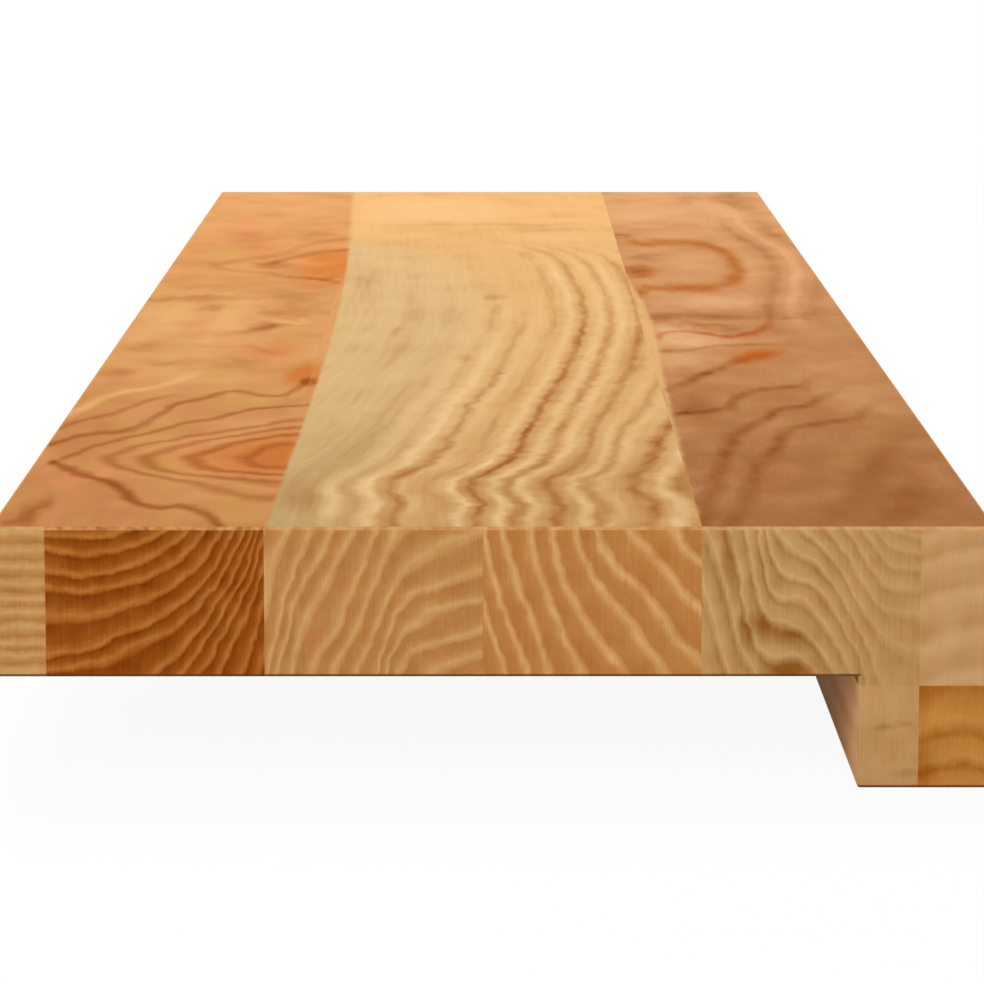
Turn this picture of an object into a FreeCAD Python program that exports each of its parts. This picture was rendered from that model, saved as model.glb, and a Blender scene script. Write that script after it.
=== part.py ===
import FreeCAD, Part
import os

# A window sill board: solid staves glued edge to edge, with a lip glued under the front edge.
# X runs from the back edge, at the window, to the front edge, in the room.
# Y runs along the board, and the staves are as long as the board.
# The origin is under the middle of the board, level with the foot of the lip.

# Driving dimensions, in millimetres
BOARD_LENGTH = 1000.0
BOARD_DEPTH = 264.0
BOARD_THICKNESS = 40.0
LIP_DROP = 30.0
LIP_DEPTH = 35.5

# The outer staves are what was left of two full ones when the glued panel was cut to its depth.
BACK_STAVE_WIDTH = 14.5
FRONT_STAVE_WIDTH = 19.5
FULL_STAVES = 4

# The lip is glued on before the underside is planed, so its glue line lies below the underside.
PLANED_OFF_UNDERSIDE = 2.4

# Every outer corner is sanded round, and the inner corner behind the lip stays sharp.
EASED_EDGE_RADIUS = 0.8

# Places that follow from the sizes
BACK = -BOARD_DEPTH / 2
FRONT = BOARD_DEPTH / 2
BACK_JOINT = BACK + BACK_STAVE_WIDTH
FRONT_JOINT = FRONT - FRONT_STAVE_WIDTH
LIP_BACK = FRONT - LIP_DEPTH
NEAR_END = -BOARD_LENGTH / 2
LIP_FOOT = 0.0
UNDERSIDE = LIP_FOOT + LIP_DROP
LIP_GLUE_LINE = UNDERSIDE - PLANED_OFF_UNDERSIDE
TOP = UNDERSIDE + BOARD_THICKNESS


def planed_sill():
    """The L-shaped section carried along the whole length, with sharp edges."""
    corners = [
        (BACK, UNDERSIDE),
        (LIP_BACK, UNDERSIDE),
        (LIP_BACK, LIP_FOOT),
        (FRONT, LIP_FOOT),
        (FRONT, TOP),
        (BACK, TOP),
    ]
    outline = [FreeCAD.Vector(x, NEAR_END, z) for x, z in corners]
    section = Part.Face(Part.makePolygon(outline + outline[:1]))
    return section.extrude(FreeCAD.Vector(0, BOARD_LENGTH, 0))


def is_inner_corner(edge):
    """True for the long edge where the underside meets the back of the lip."""
    inner_corner = FreeCAD.Vector(LIP_BACK, 0, UNDERSIDE)
    return edge.CenterOfMass.isEqual(inner_corner, EASED_EDGE_RADIUS / 2)


def eased_sill():
    """The planed section with its outer edges sanded round."""
    sill = planed_sill()
    outer_edges = [edge for edge in sill.Edges if not is_inner_corner(edge)]
    return sill.makeFillet(EASED_EDGE_RADIUS, outer_edges)


def board_joints():
    """Where the board's staves meet: the full ones share the depth between the outer ones."""
    full_width = (FRONT_JOINT - BACK_JOINT) / FULL_STAVES
    between = [BACK_JOINT + number * full_width for number in range(1, FULL_STAVES)]
    return [BACK, BACK_JOINT] + between + [FRONT_JOINT, FRONT]


def lip_joints():
    """Where the lip's staves meet: below the board's front joint."""
    return [LIP_BACK, FRONT_JOINT, FRONT]


def cut_staves(sill, joints, low, high):
    """The staves between neighbouring joints, within a range of heights."""
    staves = []
    for left, right in zip(joints, joints[1:]):
        blank = Part.makeBox(right - left, BOARD_LENGTH, high - low)
        blank.translate(FreeCAD.Vector(left, NEAR_END, low))
        stave = sill.common(blank).removeSplitter()
        staves.append(stave.Solids[0])
    return staves


def write_staves(staves, name):
    """One file for each stave, numbered from the back edge to the front edge."""
    for number, stave in enumerate(staves, start=1):
        node = f"{name}_{number}"
        stave.exportStep(f"parts/{node}.step")
        box = stave.BoundBox
        print(node, stave.isValid(), f"{box.XLength:.1f} x {box.YLength:.1f} x {box.ZLength:.1f}")


os.makedirs("parts", exist_ok=True)
sill = eased_sill()
write_staves(cut_staves(sill, board_joints(), LIP_GLUE_LINE, TOP), "board_stave")
write_staves(cut_staves(sill, lip_joints(), LIP_FOOT, LIP_GLUE_LINE), "lip_stave")
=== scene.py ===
# %% [markdown]
# # A window sill board
# A window sill board is a long shelf of solid wood that is bedded on the wall below a window. This one
# is glued up from staves, and a lip under its front edge hides the wall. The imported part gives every
# size: the script reads the boxes of its nodes and builds the visible staves in the same places.

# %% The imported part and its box
import math

import bmesh
import bpy
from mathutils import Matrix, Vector


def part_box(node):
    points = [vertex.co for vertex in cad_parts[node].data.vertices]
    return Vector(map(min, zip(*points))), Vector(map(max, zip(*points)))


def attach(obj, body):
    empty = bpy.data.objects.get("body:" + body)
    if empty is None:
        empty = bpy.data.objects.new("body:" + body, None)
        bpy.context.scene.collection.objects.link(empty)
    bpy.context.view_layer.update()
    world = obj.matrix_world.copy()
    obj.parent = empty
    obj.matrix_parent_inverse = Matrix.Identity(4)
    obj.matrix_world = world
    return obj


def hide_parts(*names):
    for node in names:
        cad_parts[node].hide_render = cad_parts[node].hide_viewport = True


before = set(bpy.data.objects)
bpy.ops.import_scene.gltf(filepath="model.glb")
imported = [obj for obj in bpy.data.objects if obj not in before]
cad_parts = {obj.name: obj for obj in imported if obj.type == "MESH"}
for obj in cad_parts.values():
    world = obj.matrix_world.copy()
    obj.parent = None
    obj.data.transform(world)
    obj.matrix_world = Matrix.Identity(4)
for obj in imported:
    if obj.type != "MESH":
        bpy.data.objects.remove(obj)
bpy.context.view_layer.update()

# %% [markdown]
# ## Where the glue lines are
# The board has six staves and the lip has two. Neighbours meet at glue lines, and an edge at a glue line
# stays sharp and flush, while an open edge is sanded round. All of these places are read from the boxes
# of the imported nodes, so a visible stave can't stray from the solid that it stands for.

# %% Staves and glue lines
MILLIMETRES = 1000
BOARD_STAVES = [f"board_stave_{number}" for number in range(1, 7)]
LIP_STAVES = [f"lip_stave_{number}" for number in range(1, 3)]

back_edge, near_end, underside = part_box("board_stave_1")[0]
_, far_end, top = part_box("board_stave_6")[1]
lip_back, _, lip_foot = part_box("lip_stave_1")[0]
lip_glue_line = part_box("lip_stave_1")[1][2]
glue_lines = [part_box(name)[0][0] for name in BOARD_STAVES[1:]]
print("glue lines in mm:", [round((x - back_edge) * MILLIMETRES, 1) for x in glue_lines])

# %% [markdown]
# ## The section of a stave
# A stave is a bar with a plain section. The stave that the lip hangs from in part is the exception:
# the underside was planed after the lip was glued on, so it has a small step behind the lip. A section
# could be cut from a cube with booleans, but a few corner points in order say the same in one line.

# %% Corner points of each section
def stave_section(name):
    """Corners of a stave's section as (across, height), in order round it."""
    (left, _, low), (right, _, high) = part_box(name)
    corners = [(left, low), (right, low), (right, high), (left, high)]
    if name in BOARD_STAVES and left < lip_back < right:
        corners[:1] = [(left, underside), (lip_back, underside), (lip_back, low)]
    return corners


print("stepped section:", [(round(x, 4), round(z, 4)) for x, z in stave_section("board_stave_5")])

# %% [markdown]
# ## A stave with sanded edges
# The section becomes a face, and one extrusion along the board makes the bar. Every open edge is then
# beveled in five segments, which is how a sanded arris looks: not sharp, not a flat chamfer. An edge
# is open when neither of its faces is glued to a neighbour. The inner corner behind the lip is hollow,
# so sandpaper doesn't reach it, and it is left out because it isn't convex.
# The bevel faces keep a mark, +1 on upper edges and -1 on lower ones, that the finishes read later.

# %% Building a stave
EASED_EDGE_RADIUS = 0.0008
EASED_EDGE_SEGMENTS = 5
SAME_PLACE = 1e-5
LONG_GRAIN, END_GRAIN = 0, 1


def is_glued(face):
    """True for a face that lies on a glue line."""
    middle = face.calc_center_median()
    if abs(face.normal.x) > 0.9:
        return any(abs(middle.x - line) < SAME_PLACE for line in glue_lines)
    return abs(face.normal.z) > 0.9 and abs(middle.z - lip_glue_line) < SAME_PLACE


def is_open_edge(edge):
    """True for an outer edge that sandpaper reaches."""
    return edge.is_convex and not any(is_glued(face) for face in edge.link_faces)


def build_stave(name):
    """One stave, with its end faces marked for end grain and its sanded edges marked."""
    form = bmesh.new()
    corners = [form.verts.new((x, near_end, z)) for x, z in stave_section(name)]
    near_face = form.faces.new(corners)
    pulled = bmesh.ops.extrude_face_region(form, geom=[near_face])["geom"]
    far_corners = [item for item in pulled if isinstance(item, bmesh.types.BMVert)]
    bmesh.ops.translate(form, verts=far_corners, vec=(0, far_end - near_end, 0))
    bmesh.ops.recalc_face_normals(form, faces=form.faces)
    for face in form.faces:
        face.material_index = END_GRAIN if abs(face.normal.y) > 0.9 else LONG_GRAIN
    arris = form.faces.layers.float.new("arris")
    open_edges = [edge for edge in form.edges if is_open_edge(edge)]
    rounded = bmesh.ops.bevel(form, geom=open_edges, offset=EASED_EDGE_RADIUS, affect="EDGES",
                              segments=EASED_EDGE_SEGMENTS, profile=0.5, material=-1)
    for face in rounded["faces"]:
        face[arris] = (face.normal.z > 0.1) - (face.normal.z < -0.1)
        at_an_end = min(abs(face.calc_center_median().y - end) for end in (near_end, far_end))
        face.material_index = END_GRAIN if at_an_end < EASED_EDGE_RADIUS else LONG_GRAIN
    mesh = bpy.data.meshes.new(name + "_wood")
    form.to_mesh(mesh)
    form.free()
    stave = bpy.data.objects.new(name + "_wood", mesh)
    bpy.context.scene.collection.objects.link(stave)
    return stave


staves = {name: build_stave(name) for name in BOARD_STAVES + LIP_STAVES}
for name, stave in staves.items():
    print(name, "has", len(stave.data.polygons), "faces")

# %% [markdown]
# ## Formulas on a surface
# The colour of wood follows its growth rings, and a growth ring is easy to write as a formula of the
# place on the board. Math nodes can be wired one by one, but then the formula gets lost in the wiring.
# Here a value that varies over a surface is wrapped as a field, and sums of fields become math nodes.

# %% Fields
class Field:
    """A value or colour that varies over a surface. A formula with fields becomes math nodes."""

    def __init__(self, socket):
        self.socket = socket

    def step(self, operation, *others):
        """The result of one math node, with this field as its first value."""
        node = self.socket.id_data.nodes.new("ShaderNodeMath")
        node.operation = operation
        for entry, value in zip(node.inputs, (self,) + others):
            plug(entry, value)
        return Field(node.outputs["Value"])

    def __add__(self, other):
        return self.step("ADD", other)

    def __sub__(self, other):
        return self.step("SUBTRACT", other)

    def __rsub__(self, other):
        return self.step("MULTIPLY_ADD", -1.0, other)

    def __mul__(self, other):
        return self.step("MULTIPLY", other)

    def __truediv__(self, other):
        return self.step("DIVIDE", other)

    __radd__ = __add__
    __rmul__ = __mul__

    def scaled(self, factor, shift):
        """The field times a factor plus a shift, in one node."""
        return self.step("MULTIPLY_ADD", factor, shift)

    def along_range(self, first, last):
        """The field counted from 0 at the first value to 1 at the last."""
        return self.scaled(1 / (last - first), first / (first - last))


def plug(entry, value):
    """Feed an input from a field, or set it to a constant."""
    if isinstance(value, Field):
        entry.id_data.links.new(value.socket, entry)
    else:
        entry.default_value = value


def new_group(name, inputs, outputs):
    """A shader node group: the group, its inputs as fields and the entries of its outputs."""
    group = bpy.data.node_groups.new(name, "ShaderNodeTree")
    for label, value in inputs.items():
        kind = "NodeSocketColor" if isinstance(value, tuple) else "NodeSocketFloat"
        group.interface.new_socket(label, in_out="INPUT", socket_type=kind).default_value = value
    for label, kind in outputs.items():
        group.interface.new_socket(label, in_out="OUTPUT", socket_type="NodeSocket" + kind)
    start = group.nodes.new("NodeGroupInput")
    end = group.nodes.new("NodeGroupOutput")
    return group, {label: Field(start.outputs[label]) for label in inputs}, end.inputs


def use_group(tree, group, **settings):
    """The outputs of a group as fields, with its inputs fed or set."""
    node = tree.nodes.new("ShaderNodeGroup")
    node.node_tree = group
    for label, value in settings.items():
        plug(node.inputs[label.replace("_", " ")], value)
    return {socket.name: Field(socket) for socket in node.outputs}


print("fields ready")

# %% [markdown]
# ## Drawing tones
# Some shapes are better drawn than computed: the tone of each growth ring, a line that wanders along a
# plank, a finish that fades in. A colour ramp, a float curve and a map range do that from a few given points,
# and the points are written in the unit of the field, mostly millimetres.

# %% Ramps, curves, fades and blends
def tint(red, green, blue):
    """A colour as it looks on a screen, 0 to 255, turned into the values a shader works with."""
    def straight(value):
        share = value / 255
        return share / 12.92 if share <= 0.04045 else ((share + 0.055) / 1.055) ** 2.4
    return straight(red), straight(green), straight(blue), 1.0


def drawn_tones(field, stops, way="EASE"):
    """A tone from 0 to 1 drawn over a field, from stops of place and tone."""
    first, last = stops[0][0], stops[-1][0]
    node = field.socket.id_data.nodes.new("ShaderNodeValToRGB")
    plug(node.inputs["Fac"], field.along_range(first, last))
    node.color_ramp.interpolation = way
    elements = node.color_ramp.elements
    elements.remove(elements[1])
    elements[0].position = 0.0
    for number, (place, tone) in enumerate(stops):
        element = elements.new((place - first) / (last - first)) if number else elements[0]
        element.color = (tone, tone, tone, 1.0)
    return Field(node.outputs["Color"])


def drawn_curve(field, points):
    """A smooth curve over a field, through points of place and value."""
    first, last = points[0][0], points[-1][0]
    low = min(value for _, value in points)
    high = max(value for _, value in points)
    node = field.socket.id_data.nodes.new("ShaderNodeFloatCurve")
    plug(node.inputs["Value"], field.along_range(first, last))
    curve = node.mapping.curves[0]
    for number, (place, value) in enumerate(points):
        spot = ((place - first) / (last - first), (value - low) / (high - low))
        if number < 2:
            curve.points[number].location = spot
        else:
            curve.points.new(*spot)
    node.mapping.update()
    return Field(node.outputs["Value"]).scaled(high - low, low)


def fade(field, start, stop, way="SMOOTHSTEP"):
    """A share that runs from 0 at the start to 1 at the stop."""
    node = field.socket.id_data.nodes.new("ShaderNodeMapRange")
    node.interpolation_type = way
    plug(node.inputs["Value"], field)
    node.inputs["From Min"].default_value = start
    node.inputs["From Max"].default_value = stop
    return Field(node.outputs["Result"])


def blend(first, second, share):
    """A colour between two, where a share of 0 gives the first."""
    node = share.socket.id_data.nodes.new("ShaderNodeMix")
    node.data_type = "RGBA"
    plug(node.inputs["Factor"], share)
    plug([entry for entry in node.inputs if entry.name == "A" and entry.type == "RGBA"][0], first)
    plug([entry for entry in node.inputs if entry.name == "B" and entry.type == "RGBA"][0], second)
    return Field([entry for entry in node.outputs if entry.type == "RGBA"][0])


print("drawing helpers ready")

# %% [markdown]
# ## Place on the board
# Every finish reads the same place: how far from the back edge, how far from the near end, and how deep
# below the top, all in millimetres. The lean and the slide shift the figure with the depth, so the lines
# of the top run over an edge and go on down the side, and the underside isn't a copy of the top.

# %% The place group
place_group, given, result = new_group(
    "Place on the board", {"Lean": 0.0, "Slide": 0.0},
    {"Across": "Float", "Along": "Float", "Depth": "Float"})
coordinates = place_group.nodes.new("ShaderNodeTexCoord")
parts = place_group.nodes.new("ShaderNodeSeparateXYZ")
place_group.links.new(coordinates.outputs["Object"], parts.inputs["Vector"])
depth = (top - Field(parts.outputs["Z"])) * MILLIMETRES
plug(result["Across"], (Field(parts.outputs["X"]) - back_edge) * MILLIMETRES + given["Lean"] * depth)
plug(result["Along"], (Field(parts.outputs["Y"]) - near_end) * MILLIMETRES + given["Slide"] * depth)
plug(result["Depth"], depth)
print(place_group.name, "has", len(place_group.nodes), "nodes")

# %% [markdown]
# ## Uneven growth
# No tree grows evenly. A soft noise, stretched along the grain and measured in millimetres, bends the
# rings, fades them in and out, and clouds the colour. It is centred on zero.

# %% The uneven growth group
SEED_SPACING = 7.3
GROWTH_SPAN = 3.0

growth_group, given, result = new_group(
    "Uneven growth", {"Across": 0.0, "Along": 0.0, "Depth": 0.0, "Wide": 10.0, "Long": 10.0, "Seed": 0.0},
    {"Value": "Float"})
finer_across = given["Wide"].step("POWER", -1.0)
finer_along = given["Long"].step("POWER", -1.0)
start = (given["Across"], given["Along"], given["Depth"])
squeeze = (finer_across, finer_along, finer_across)
shift = (0.0, 0.0, given["Seed"] * SEED_SPACING)
spot = growth_group.nodes.new("ShaderNodeVectorMath")
spot.operation = "MULTIPLY_ADD"
for entry, values in zip(spot.inputs, (start, squeeze, shift)):
    joined = growth_group.nodes.new("ShaderNodeCombineXYZ")
    for part, value in zip(joined.inputs, values):
        plug(part, value)
    growth_group.links.new(joined.outputs["Vector"], entry)
cloud = growth_group.nodes.new("ShaderNodeTexNoise")
cloud.inputs["Scale"].default_value = 1.0
cloud.inputs["Detail"].default_value = 1.5
cloud.inputs["Roughness"].default_value = 0.5
growth_group.links.new(spot.outputs["Vector"], cloud.inputs["Vector"])
plug(result["Value"], Field(cloud.outputs[0]).scaled(GROWTH_SPAN, -GROWTH_SPAN / 2))


def growth(place, wide, long, seed):
    """Uneven growth at a place, with its size across and along the grain."""
    across, along, depth = place
    return use_group(across.socket.id_data, growth_group, Across=across, Along=along, Depth=depth,
                     Wide=wide, Long=long, Seed=seed)["Value"]


print(growth_group.name, "has", len(growth_group.nodes), "nodes")

# %% [markdown]
# ## Nested rings
# Where a saw cuts a growth layer at a slant, the layer shows as nested rings: pointed swirls, ovals or
# squarish loops. One formula covers all three. The distances to the centre come as shares of the reach, so
# the ring number is 1 at the reach, and the squareness turns points (near 1) into ovals (2) and loops (3).

# %% The nested rings group
rings_group, given, result = new_group(
    "Nested rings", {"Sideways": 0.0, "Lengthways": 0.0, "Squareness": 2.0}, {"Ring": "Float"})
squareness = given["Squareness"]
sideways = given["Sideways"].step("ABSOLUTE").step("POWER", squareness)
lengthways = given["Lengthways"].step("ABSOLUTE").step("POWER", squareness)
plug(result["Ring"], (sideways + lengthways).step("POWER", squareness.step("POWER", -1.0)))


def rings(sideways, lengthways, squareness):
    """Ring number round a centre, from the distances to it as shares of the reach."""
    return use_group(sideways.socket.id_data, rings_group, Sideways=sideways, Lengthways=lengthways,
                     Squareness=squareness)["Ring"]


print(rings_group.name, "has", len(rings_group.nodes), "nodes")

# %% [markdown]
# ## Figure colours
# The figure is a tone: 0.5 is plain wood, lower is dense late wood, higher is pale early wood. One group
# turns the tone into colours, so each plank only has to name its three.

# %% The figure colours group
figure_group, given, result = new_group(
    "Figure colours",
    {"Figure": 0.5, "Wood": (0.5, 0.5, 0.5, 1.0), "Late wood": (0.2, 0.2, 0.2, 1.0),
     "Early wood": (0.8, 0.8, 0.8, 1.0)},
    {"Color": "Color"})
darkened = blend(given["Wood"], given["Late wood"], (0.5 - given["Figure"]) * 2)
plug(result["Color"], blend(darkened, given["Early wood"], (given["Figure"] - 0.5) * 2))


def figure_colours(figure, wood, late, early):
    """Colours of a figure."""
    tree = figure.socket.id_data
    return use_group(tree, figure_group, Figure=figure, Wood=wood, Late_wood=late, Early_wood=early)["Color"]


print(figure_group.name, "has", len(figure_group.nodes), "nodes")

# %% [markdown]
# ## Wear and painted light on the sanded edges
# An upper edge is a little paler than the board, partly worn by sanding and handling and partly a painted
# highlight, and a lower edge is painted dark as painted shade. The mark on the bevel faces says which is
# which, and a little noise keeps the line from being even.

# %% The edge wear and painted light group
# The paler edge colour is partly wear and partly a painted highlight. The dark one is painted shade on the
# lower edges.
WORN_AND_HIGHLIT_EDGE = tint(226, 165, 102)
SHADED_LOWER_EDGE = tint(92, 62, 30)

edges_group, given, result = new_group(
    "Edge wear and painted light", {"Colour": (0.5, 0.5, 0.5, 1.0), "Across": 0.0, "Along": 0.0, "Depth": 0.0},
    {"Color": "Color"})
mark_node = edges_group.nodes.new("ShaderNodeAttribute")
mark_node.attribute_name = "arris"
mark = Field(mark_node.outputs["Fac"])
patchy = growth((given["Across"], given["Along"], given["Depth"]), 2.4, 2.4, 31)
paler = blend(given["Colour"], WORN_AND_HIGHLIT_EDGE, (mark + patchy) * 0.5 * fade(mark, 0.0, 1.0))
plug(result["Color"], blend(paler, SHADED_LOWER_EDGE, fade(mark, 0.0, -1.0) * 0.8))
print(edges_group.name, "has", len(edges_group.nodes), "nodes")

# %% [markdown]
# ## From figure to finish
# The board is oiled: a soft sheen, a little duller in the late wood, and fibres that can just be felt.
# The shader stays in the material. Its roughness follows the figure, and its bump follows the fibres.

# %% The oiled finish
ROUGHNESS = 0.66
SMOOTHER_EARLY_WOOD = 0.12
FIBRE_ROUGHNESS = 0.05
SHEEN = 0.004
FIBRE_STRENGTH = 0.25
FIBRE_DEPTH = 0.0002


def new_wood(name, lean=0.0, slide=0.0):
    """A new wood material and the place on the board as three fields."""
    material = bpy.data.materials.new(name)
    material.use_nodes = True
    place = use_group(material.node_tree, place_group, Lean=lean, Slide=slide)
    return material, (place["Across"], place["Along"], place["Depth"])


def oil(material, place, colour, figure, fibres):
    """Feed the shader of a material: colour with worn edges and their painted highlight and shade, roughness
    and bump.
    """
    tree = material.node_tree
    shader = tree.nodes["Principled BSDF"]
    across, along, depth = place
    edged = use_group(tree, edges_group, Colour=colour, Across=across, Along=along, Depth=depth)["Color"]
    plug(shader.inputs["Base Color"], edged)
    plug(shader.inputs["Roughness"], ROUGHNESS - figure * SMOOTHER_EARLY_WOOD + fibres * FIBRE_ROUGHNESS)
    shader.inputs["Specular IOR Level"].default_value = SHEEN
    bump = tree.nodes.new("ShaderNodeBump")
    bump.inputs["Strength"].default_value = FIBRE_STRENGTH
    bump.inputs["Distance"].default_value = FIBRE_DEPTH
    plug(bump.inputs["Height"], fibres)
    tree.links.new(bump.outputs["Normal"], shader.inputs["Normal"])
    print(material.name, "has", len(tree.nodes), "nodes")


def fibre_streaks(place):
    """Fine streaks along the grain."""
    return growth(place, 0.9, 45, 21) * 0.6 + growth(place, 2.6, 120, 22) * 0.6


def side_grain(place):
    """Straight lines that show on the edges and the underside, where the saw ran along the rings."""
    lines = growth(place, 1.8, 300, 23) * 0.12 + growth(place, 5, 420, 24) * 0.14
    return lines * fade(place[2], 0.6, 2.0)


print("oiled finish ready")

# %% [markdown]
# ## Single lines and smudges
# Some lines of a figure go their own way, next to the rings. Such a line is a curve through a few points,
# and its share fades with the distance to the curve. Measured straight along the board, a steep part of a
# line would come out thin, so the distance is divided by the steepness. A smudge is a soft oval patch.
# Each plank keeps its lines and its smudges in a list, and one loop draws them all.

# %% Drawing lines and smudges
LINE_SPREAD = 1.15
STEEPNESS_SHARE = 0.25
SMUDGE_EDGE, SMUDGE_CORE = 1.3, 0.1


def stroke(across, along, points, width):
    """A line over a plank as a share: 1 on the curve through the points, 0 a little beyond its width."""
    line = drawn_curve(across, points)
    slope = drawn_curve(across + 1.0, points) - line
    steepness = (slope * slope).scaled(STEEPNESS_SHARE, 1.0).step("SQRT")
    return fade(((along - line) / steepness).step("ABSOLUTE"), width * LINE_SPREAD, 0.0)


def patch(across, along, centre, reach, slant=0.0):
    """A soft oval patch as a share: 1 in the middle, 0 a little beyond its reach."""
    level = along - across.scaled(slant, -centre[0] * slant) if slant else along
    sideways = across.along_range(centre[0], centre[0] + reach[0])
    lengthways = level.along_range(centre[1], centre[1] + reach[1])
    distance = lengthways.step("MULTIPLY_ADD", lengthways, sideways * sideways).step("SQRT")
    return fade(distance, SMUDGE_EDGE, SMUDGE_CORE)


def draw_lines(figure, across, bent, lines, presence=1.0):
    """A figure with lines on it. A line has its width, its tone, the fades at its ends and its points."""
    for width, tone, ends, points in lines:
        line = stroke(*bent, points, width)
        for start, stop in ends:
            line = line * fade(across, start, stop)
        figure = line.scaled(presence * tone, figure)
    return figure


def draw_smudges(figure, across, along, smudges):
    """A figure with smudges on it. A smudge has its centre, its reach, its tone and perhaps a slant."""
    for centre, reach, tone, *slant in smudges:
        figure = patch(across, along, centre, reach, *slant).scaled(tone, figure)
    return figure


print("lines and smudges ready")

# %% [markdown]
# ## Bends, haze and clouds of colour
# A line that is drawn on an even place looks ruled. So the place is bent by uneven growth first, a little
# for lines and more for soft smudges. The colour of a plank changes slowly along it and gets paler towards
# the far end, partly its own colour and partly painted light. Clouds of two other hues keep it from being
# flat.

# %% Bent places and changing colours
def bent_place(place, wide, long, sway, shake):
    """The place bent by uneven growth, so that the lines drawn on it waver."""
    across, along, _ = place
    bent_across = across + growth(place, wide, long, 1) * sway + growth(place, 4, 7, 2) * 0.5
    bent_along = along + growth(place, wide, long, 3) * 4.0 + growth(place, 4, 7, 4) * shake
    return bent_across, bent_along


def hazy_place(place):
    """The place blurred by uneven growth, for soft smudges."""
    across, along, _ = place
    return across + growth(place, 7, 22, 5) * 4, along + growth(place, 9, 22, 10) * 14


def colour_and_painted_light_along(along, colour, changes):
    """A colour that changes along a plank, partly its own colour and partly painted light that brightens the
    far end. A change has its new colour, its start and its stop.
    """
    for new_colour, start, stop in changes:
        colour = blend(colour, new_colour, fade(along, start, stop))
    return colour


def hue_clouds(hue, colour, above, below, share):
    """A colour with clouds of two others, where the hue is above and below zero."""
    colour = blend(colour, above, fade(hue, 0.0, 1.0) * share)
    return blend(colour, below, fade(hue, 0.0, -1.0) * share)


def quieter(figure, share):
    """A figure that is almost plain wood where the share is 1."""
    return 0.5 + (figure - 0.5) * (1.0 - share * 0.8)


print("bends and clouds ready")

# %% [markdown]
# ## The back plank
# The two staves at the back come from one orange plank. Its figure has a pointed swirl near the end and a
# fainter one near the far end. Two curves give the ring number along the middle of the near swirl and along
# its root, and the nested rings join them. Its upper side is pointed and its lower side rounder, so the
# squareness changes over the swirl. The ramp draws the dark rings.

# %% Rings of the back plank
BACK_BEND = (18, 30, 1.1, 1.8)
SWIRL_ACROSS = [
    (-30, 1.6), (0, 1.07), (5, 1.0), (21, 0.76), (32, 0.6), (45, 0.4), (60, 0.18), (72, 0.0), (110, 0.0)]
SWIRL_ALONG = [
    (-60, -1.7), (-10, -1.15), (48, -0.76), (75, -0.6), (90, -0.4), (103, -0.18), (123, 0.0), (150, 0.18),
    (168, 0.4), (184, 0.6), (200, 0.76), (233, 1.0), (290, 1.5), (400, 2.4)]
SWIRL_TONES = [
    (0.00, 0.50), (0.10, 0.50), (0.18, 0.22), (0.26, 0.54), (0.33, 0.55), (0.40, 0.20), (0.48, 0.57),
    (0.53, 0.56), (0.60, 0.24), (0.68, 0.58), (0.71, 0.52), (0.76, 0.26), (0.84, 0.57), (0.95, 0.54),
    (1.10, 0.50), (2.00, 0.50)]
UPPER_FLANK = [
    (-20, 60), (0, 97), (5, 113), (11, 133), (14, 145), (18, 153), (24, 165), (32, 181), (39, 196),
    (47, 206), (53, 217), (62, 227), (72, 233), (110, 240)]


def near_rings(place, bent):
    """The ring number round the near swirl, and its figure with the knot beside it."""
    across, along, _ = place
    sideways = drawn_curve(bent[0], SWIRL_ACROSS)
    lengthways = drawn_curve(bent[1], SWIRL_ALONG)
    roundness = 1.5 - fade(along, 112, 135) * 0.42
    ring = rings(sideways, lengthways, roundness)
    tones = drawn_tones(ring, SWIRL_TONES)
    upper_flank = stroke(*bent, UPPER_FLANK, 4.8) * fade(across, 3, 6)
    knot = patch(*bent, (73, 290), (4, 10))
    return ring, 0.5 + (tones - 0.5) * fade(along, 330, 270) - upper_flank * 0.3 - knot * 0.5


back_wood, place = new_wood("back_plank_wood", lean=0.7, slide=3.0)
across, along, depth = place
bent = bent_place(place, *BACK_BEND)
ring, figure = near_rings(place, bent)
print(len(SWIRL_TONES), "tones from the heart of the swirl outwards")

# %% [markdown]
# Outside the rings the lines are drawn one by one: the lower flank of the near swirl, the lines above it,
# and the flanks of the far swirl. The upper flank is drawn with the rings, as it runs on over the joint.

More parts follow.
